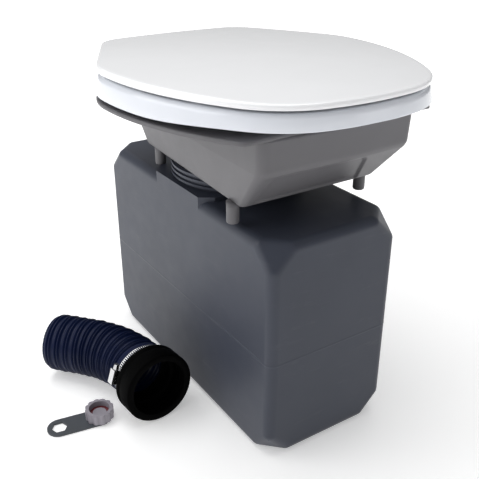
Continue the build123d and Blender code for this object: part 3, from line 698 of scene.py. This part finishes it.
def make_hose():
    """The hose: a plain cuff, a corrugated outside, a cut end and a wavy bore."""
    start, bend, end = CUFF_START, CUFF_END, CUFF_END + HOSE_LENGTH
    profile = [(start, 37.2), (start, 40), (start + 0.5, 40.5)]
    profile += [(start + past, 40.5) for past in (2, 8, 14, 19)]
    profile += [(bend - 3, 40.3), (bend - 1.5, 39.4), (bend, 37.9)]
    for n in range(1, RIB_GROUPS * OUTER_STEPS):
        distance = bend + HOSE_LENGTH * n / (RIB_GROUPS * OUTER_STEPS)
        uneven = 1 + 0.06 * sin(2.3 * (n // OUTER_STEPS))
        height = rib_height(n % OUTER_STEPS / OUTER_STEPS) * uneven
        profile.append((distance, VALLEY_RADIUS + height))
    profile += [(end - 0.6, 37.6), (end, 37), (end, 35.2), (end - 0.5, BORE_RADIUS)]
    for n in range(RIB_GROUPS * INNER_STEPS - 1, 0, -1):
        distance = bend + HOSE_LENGTH * n / (RIB_GROUPS * INNER_STEPS)
        height = 0.5 * rib_height(n % INNER_STEPS / INNER_STEPS)
        profile.append((distance, BORE_RADIUS + height))
    profile += [(bend, 35), (bend - 1, 37), (start + 0.5, 37)]
    piece = make_piece("hose_tube", *sleeve(profile), "drain_hose")
    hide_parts("drain_hose")


def make_connector():
    """The rubber cuff between the tank's spout and the hose, with ribs inside its mouth."""
    profile = [(2.2, 48.5), (0.8, 48.1), (0.1, 47.2), (0, 46), (0, 39.6), (0.5, 38.8), (1.5, 38.3)]
    for n in range(3):
        base = 6 + 7 * n
        profile += [(base, 38.3), (base + 0.8, 38.9), (base + 2.4, 38.9), (base + 3.2, 38.3)]
    profile += [(28.4, 38.3), (29, 37.9), (29, 34.2), (29.4, 33.6), (52.4, 33.6), (52.9, 34)]
    profile += [(52.9, 36.4), (52.3, 36.7), (33, 36.7), (33, 46.2), (32.4, 47.6), (31, 48.3)]
    profile += [(29.5, 48.5), (26, 48.5), (24.6, 47.7), (22, 47.7), (20.6, 48.5), (10, 48.5)]
    piece = make_piece("connector_cuff", *sleeve(profile[::-1]), "hose_connector")
    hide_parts("hose_connector")


def make_band():
    """The clamp's perforated band, with raised edges and slanting slots."""
    lean_of_row = {PUNCHED_ROW: -PUNCH_LEAN, PUNCHED_ROW + 1: PUNCH_LEAN}
    verts = []
    for row, (distance, radius) in enumerate(BAND_PROFILE):
        centre = MOUTH + ALONG * distance
        for i in range(BAND_SIDES):
            turn = 2 * pi * i / BAND_SIDES + lean_of_row.get(row, 0)
            verts.append(centre + radius * (cos(turn) * SIDE + sin(turn) * UP))
    faces = []
    for row in range(len(BAND_PROFILE) - 1):
        near, far = row * BAND_SIDES, (row + 1) * BAND_SIDES
        for i in range(BAND_SIDES):
            punched = row == PUNCHED_ROW and i % 4 in (0, 1)
            if not punched:
                j = (i + 1) % BAND_SIDES
                faces.append((near + i, near + j, far + j, far + i))
    piece = make_piece("clamp_strap", verts, faces, "clamp_band")
    give_wall(piece, BAND_WALL)
    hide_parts("clamp_band")


def make_parting_line():
    """The low ridge that the two halves of the blow mould leave round the tank."""
    tank_low, tank_high = box_mm("tank_shell")
    middle_x = tank_high.x - TANK_CORNER_RADIUS
    middle_y = -tank_low.y - TANK_CORNER_RADIUS
    rings = []
    for proud, z in SEAM_PROFILE:
        ring = []
        for n, (side_x, side_y) in enumerate(((1, 1), (-1, 1), (-1, -1), (1, -1))):
            centre = Vector((side_x * middle_x, side_y * middle_y))
            turn = n * pi / 2
            for p in arc_points(centre, TANK_CORNER_RADIUS + proud, turn, (n + 1) * pi / 2):
                ring.append((p.x, p.y, z))
        rings.append(ring)
    make_piece("tank_parting_line", *skin(rings), "tank_shell")


make_hose()
make_connector()
make_band()
make_parting_line()


# --------------------------------------------------------- camera, floor, light
CAMERA_PLACE = Vector((-0.480, -0.7438, 0.6292))
CAMERA_FORWARD = Vector((0.4899, 0.7526, -0.4399))
CAMERA_UP = Vector((0.240, 0.3687, 0.898))
CAMERA_LENS = 52.54
FLOOR_HALF = 20
FLOOR_DROP = 0.0005


def look_matrix(place, forward, up):
    """The place and turn of a camera or lamp that looks along forward."""
    right = forward.cross(up).normalized()
    up = right.cross(forward).normalized()
    turn = Matrix((right, up, -forward.normalized())).transposed().to_4x4()
    return Matrix.Translation(place) @ turn


camera_data = bpy.data.cameras.new("camera")
camera_data.sensor_width = 36
camera_data.lens = CAMERA_LENS
camera_data.clip_end = 50
camera = bpy.data.objects.new("camera", camera_data)
scene.collection.objects.link(camera)
camera.matrix_world = look_matrix(CAMERA_PLACE, CAMERA_FORWARD, CAMERA_UP)
scene.camera = camera

floor_signs = ((-1, -1), (1, -1), (1, 1), (-1, 1))
floor_corners = [(x * FLOOR_HALF, y * FLOOR_HALF, 0) for x, y in floor_signs]
floor_mesh = bpy.data.meshes.new("studio_floor")
floor_mesh.from_pydata(floor_corners, [], [(0, 1, 2, 3)])
floor = bpy.data.objects.new("studio_floor", floor_mesh)
scene.collection.objects.link(floor)
floor_look = plastic("studio_floor", (0.93, 0.93, 0.93), 0.7, (60, 0.05), 0.004)
floor_nodes = floor_look.node_tree.nodes
floor_links = floor_look.node_tree.links
floor_shader = floor_nodes["Principled BSDF"]
# The floor glows, which is painted light: its emission strength rises from 0.35 within 0.6 m of the
# middle to 0.9 beyond 1.8 m. The floor round the object then reads white over its shadows, and the
# glow lights the object's lower faces from below.
floor_shader.inputs["Emission Color"].default_value = (1, 1, 1, 1)
floor_place = floor_nodes.new("ShaderNodeTexCoord")
away = floor_nodes.new("ShaderNodeVectorMath")
away.operation = "LENGTH"
glow = floor_nodes.new("ShaderNodeMapRange")
glow.inputs["From Min"].default_value = 0.6
glow.inputs["From Max"].default_value = 1.8
glow.inputs["To Min"].default_value = 0.35
glow.inputs["To Max"].default_value = 0.9
floor_links.new(floor_place.outputs["Object"], away.inputs[0])
floor_links.new(away.outputs["Value"], glow.inputs["Value"])
floor_links.new(glow.outputs["Result"], floor_shader.inputs["Emission Strength"])
floor_mesh.materials.append(floor_look)
floor.location.z = -FLOOR_DROP


def softbox(name, place, target, size, power):
    """A rectangular area lamp that faces a target."""
    data = bpy.data.lights.new(name, "AREA")
    data.shape = "RECTANGLE"
    data.size, data.size_y = size
    data.energy = power
    lamp = bpy.data.objects.new(name, data)
    scene.collection.objects.link(lamp)
    aim = Vector(target) - Vector(place)
    lamp.matrix_world = look_matrix(Vector(place), aim.normalized(), Vector((0, 0.1, 1)))


softbox("left_softbox", (-1.6, 0.5, 1.0), (0, 0, 0.25), (1.4, 1.2), 11)
softbox("top_softbox", (-0.1, 0.3, 1.9), (0, 0, 0.3), (1.8, 1.8), 27)
softbox("front_fill", (-0.3, -2.2, 1.3), (0, 0, 0.3), (1.6, 1.2), 1.5)

world = bpy.data.worlds.new("studio")
scene.world = world
world.use_nodes = True
sky = world.node_tree.nodes["Background"]
sky.inputs["Color"].default_value = (1, 1, 1, 1)
sky.inputs["Strength"].default_value = 0.3
scene.view_settings.view_transform = "Standard"
